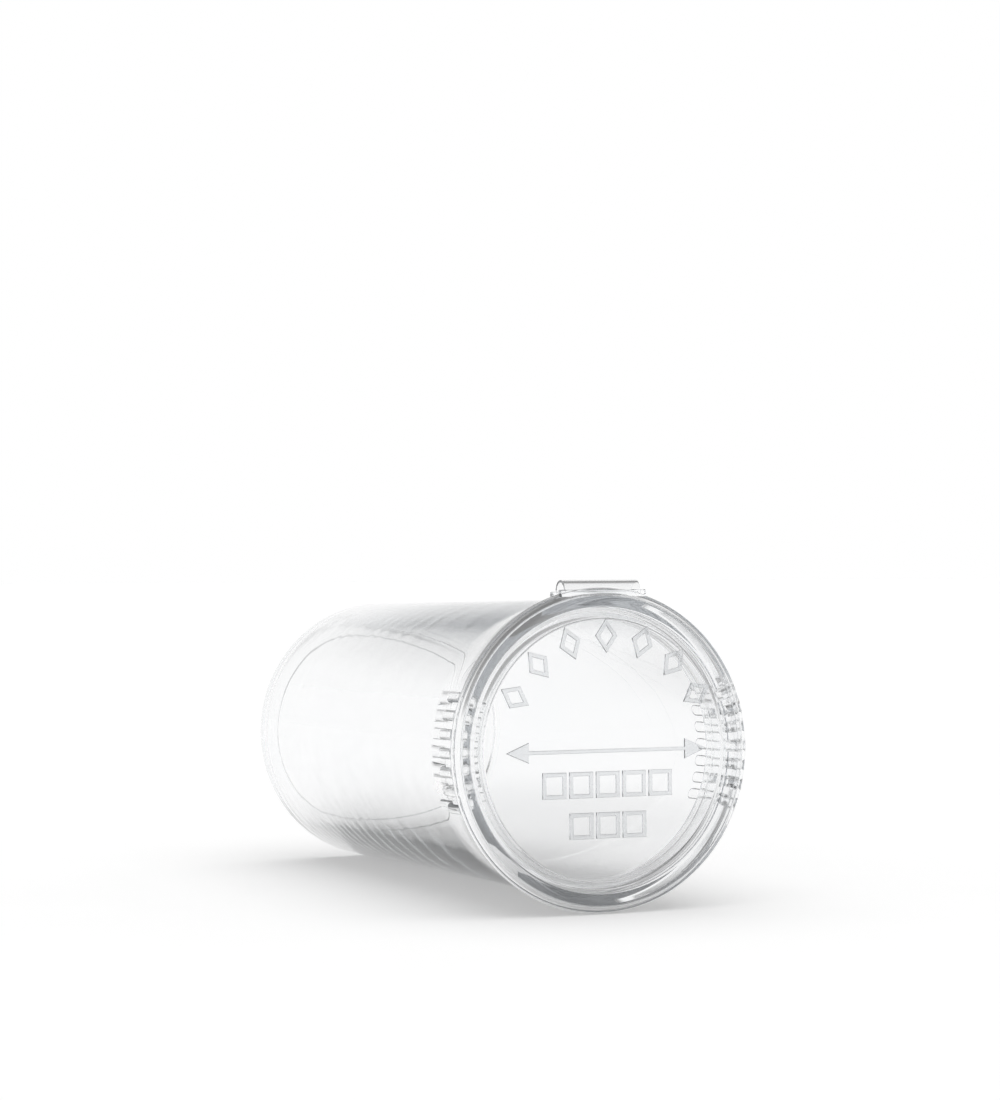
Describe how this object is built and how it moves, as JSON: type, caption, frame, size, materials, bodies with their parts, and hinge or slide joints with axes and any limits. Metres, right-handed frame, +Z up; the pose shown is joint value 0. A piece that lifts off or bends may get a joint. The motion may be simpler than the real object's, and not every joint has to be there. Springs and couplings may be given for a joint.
{
  "type": "prescription vial",
  "caption": "Clear squeeze-top prescription vial lying on its side, with a hinged snap lid, side grip ribs and raised marks on the lid.",
  "frame": {"origin": "on the surface that the vial lies on, under the middle of its box", "axes": "+Z up; +Y along the vial from the lid to the base; X across, along the hinge. The vial lies on its lid's rim and the heel of its base, leaning 1.29 degrees, with the hinge on top"},
  "size_m": [0.04, 0.0774, 0.0409],
  "materials": {
    "vial_wall": "clear, colourless, smooth moulded polypropylene",
    "vial_collar": "clear, colourless, smooth moulded polypropylene",
    "lid_wall": "clear, colourless, smooth moulded polypropylene",
    "living_hinge": "clear, colourless, thin flexed polypropylene",
    "raised_marks": "clear, colourless, raised 0.25 mm"
  },
  "bodies": {
    "vial": {"vial_tube": "vial_wall", "vial_base": "vial_wall", "mouth_collar": "vial_collar", "grip_ribs_right": "vial_collar", "grip_ribs_left": "vial_collar", "hinge_body_pad": "living_hinge", "hinge_body_leaf": "living_hinge"},
    "lid": {"lid_rim": "lid_wall", "lid_panel": "lid_wall", "lid_plug": "lid_wall", "lid_snap_bead": "lid_wall", "hinge_lid_pad": "living_hinge", "hinge_lid_leaf": "living_hinge", "squeeze_arrow": "raised_marks", "arc_marks": "raised_marks", "row_marks": "raised_marks"}
  },
  "joints": [
    {"name": "lid_hinge", "type": "hinge", "parent": "vial", "child": "lid", "pos_m": [0, -0.03562, 0.04094], "axis": [-1, 0, 0], "range_deg": [0, 180]}
  ]
}
